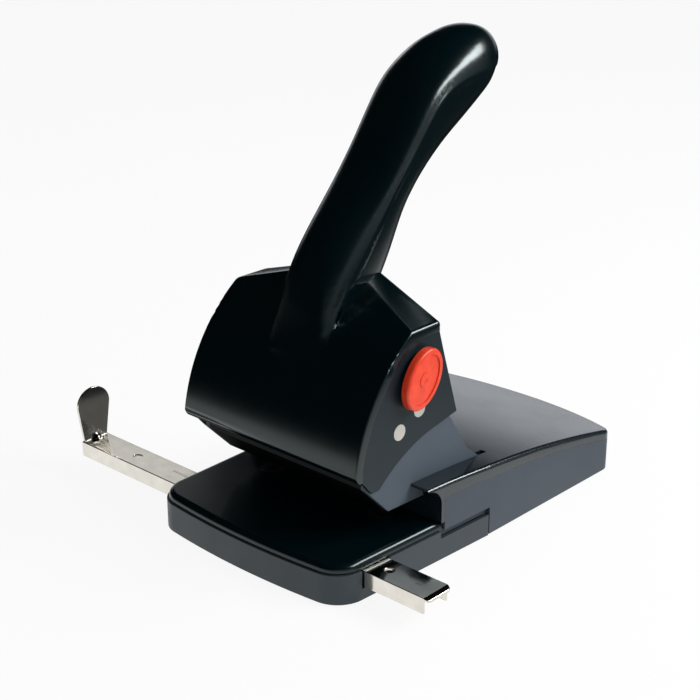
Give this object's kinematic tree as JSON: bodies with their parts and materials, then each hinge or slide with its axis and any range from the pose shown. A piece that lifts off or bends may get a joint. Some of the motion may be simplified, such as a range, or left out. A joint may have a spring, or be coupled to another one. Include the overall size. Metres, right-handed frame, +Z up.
{
  "type": "two-hole paper punch",
  "caption": "Heavy-duty desk punch for filing holes: tall rear-leaning lever over an arched head, long low base, sliding paper rail and snap-off chip tray.",
  "frame": {"origin": "on the desk surface, under the middle of the punching table: centre of the front rubber pad's underside", "axes": "+X to the right seen from the front, +Y to the back, +Z up; X = 0 is the middle plane between the two punches"},
  "size_m": [0.2633, 0.2456, 0.2572],
  "materials": {
    "head_black": "matt black moulding",
    "table_black": "satin black",
    "housing_grey": "fine-grained blue-grey moulding",
    "tray_grey": "fine-grained blue-grey moulding",
    "cover_black": "semi-gloss black",
    "plate_grey": "satin slate grey enamel",
    "bracket_grey": "satin slate grey enamel",
    "guide_black": "satin black",
    "tool_steel": "ground",
    "plain_steel": "bright zinc",
    "pin_steel": "bright turned",
    "rail_nickel": "nickel-plated",
    "button_red": "glossy orange-red",
    "rubber_black": "matt"
  },
  "bodies": {
    "base": {"base_body": "housing_grey", "table_plate": "table_black", "rear_cover": "cover_black", "bracket_left": "bracket_grey", "bracket_right": "bracket_grey", "bracket_screws": "plain_steel", "guide_block": "guide_black", "die_left": "tool_steel", "die_right": "tool_steel", "rear_foot_left": "rubber_black", "rear_foot_right": "rubber_black", "punch_spring_left": "plain_steel", "punch_spring_right": "plain_steel"},
    "lever": {"lever_shell": "head_black", "handle_back": "head_black", "lever_plate_left": "plate_grey", "lever_plate_right": "plate_grey", "pivot_pin": "pin_steel", "drive_pin": "pin_steel", "tie_rod": "plain_steel", "shell_screws": "plain_steel", "button_spring": "plain_steel"},
    "punch_bar_set": {"punch_bar": "plain_steel", "punch_left": "tool_steel", "punch_right": "tool_steel"},
    "button": {"lock_button": "button_red", "lock_pin": "plain_steel"},
    "rail": {"paper_rail": "rail_nickel"},
    "tray": {"chip_tray": "tray_grey", "front_pad": "rubber_black"}
  },
  "joints": [
    {"name": "lever_hinge", "type": "hinge", "parent": "base", "child": "lever", "pos_m": [0, 0.031, 0.0776], "axis": [-1, 0, 0], "range_deg": [0, 43], "stiffness_Nm_per_rad": 1, "springref_deg": -25.78},
    {"name": "punch_slide", "type": "slide", "parent": "base", "child": "punch_bar_set", "axis": [0, 0, -1], "range_m": [0, 0.01238], "deforming": ["punch_spring_left", "punch_spring_right"]},
    {"name": "button_press", "type": "slide", "parent": "lever", "child": "button", "axis": [-1, 0, 0], "range_m": [0, 0.0024], "stiffness_N_per_m": 400, "springref_m": -0.002, "deforming": ["button_spring"]},
    {"name": "rail_slide", "type": "slide", "parent": "base", "child": "rail", "axis": [1, 0, 0], "range_m": [-0.025, 0.078]},
    {"name": "tray_drop", "type": "slide", "parent": "base", "child": "tray", "axis": [0, 0, -1], "range_m": [0, 0.022]}
  ],
  "couplings": [
    {"joint": "punch_slide", "follows": "lever_hinge", "m_per_rad": 0.016495}
  ]
}
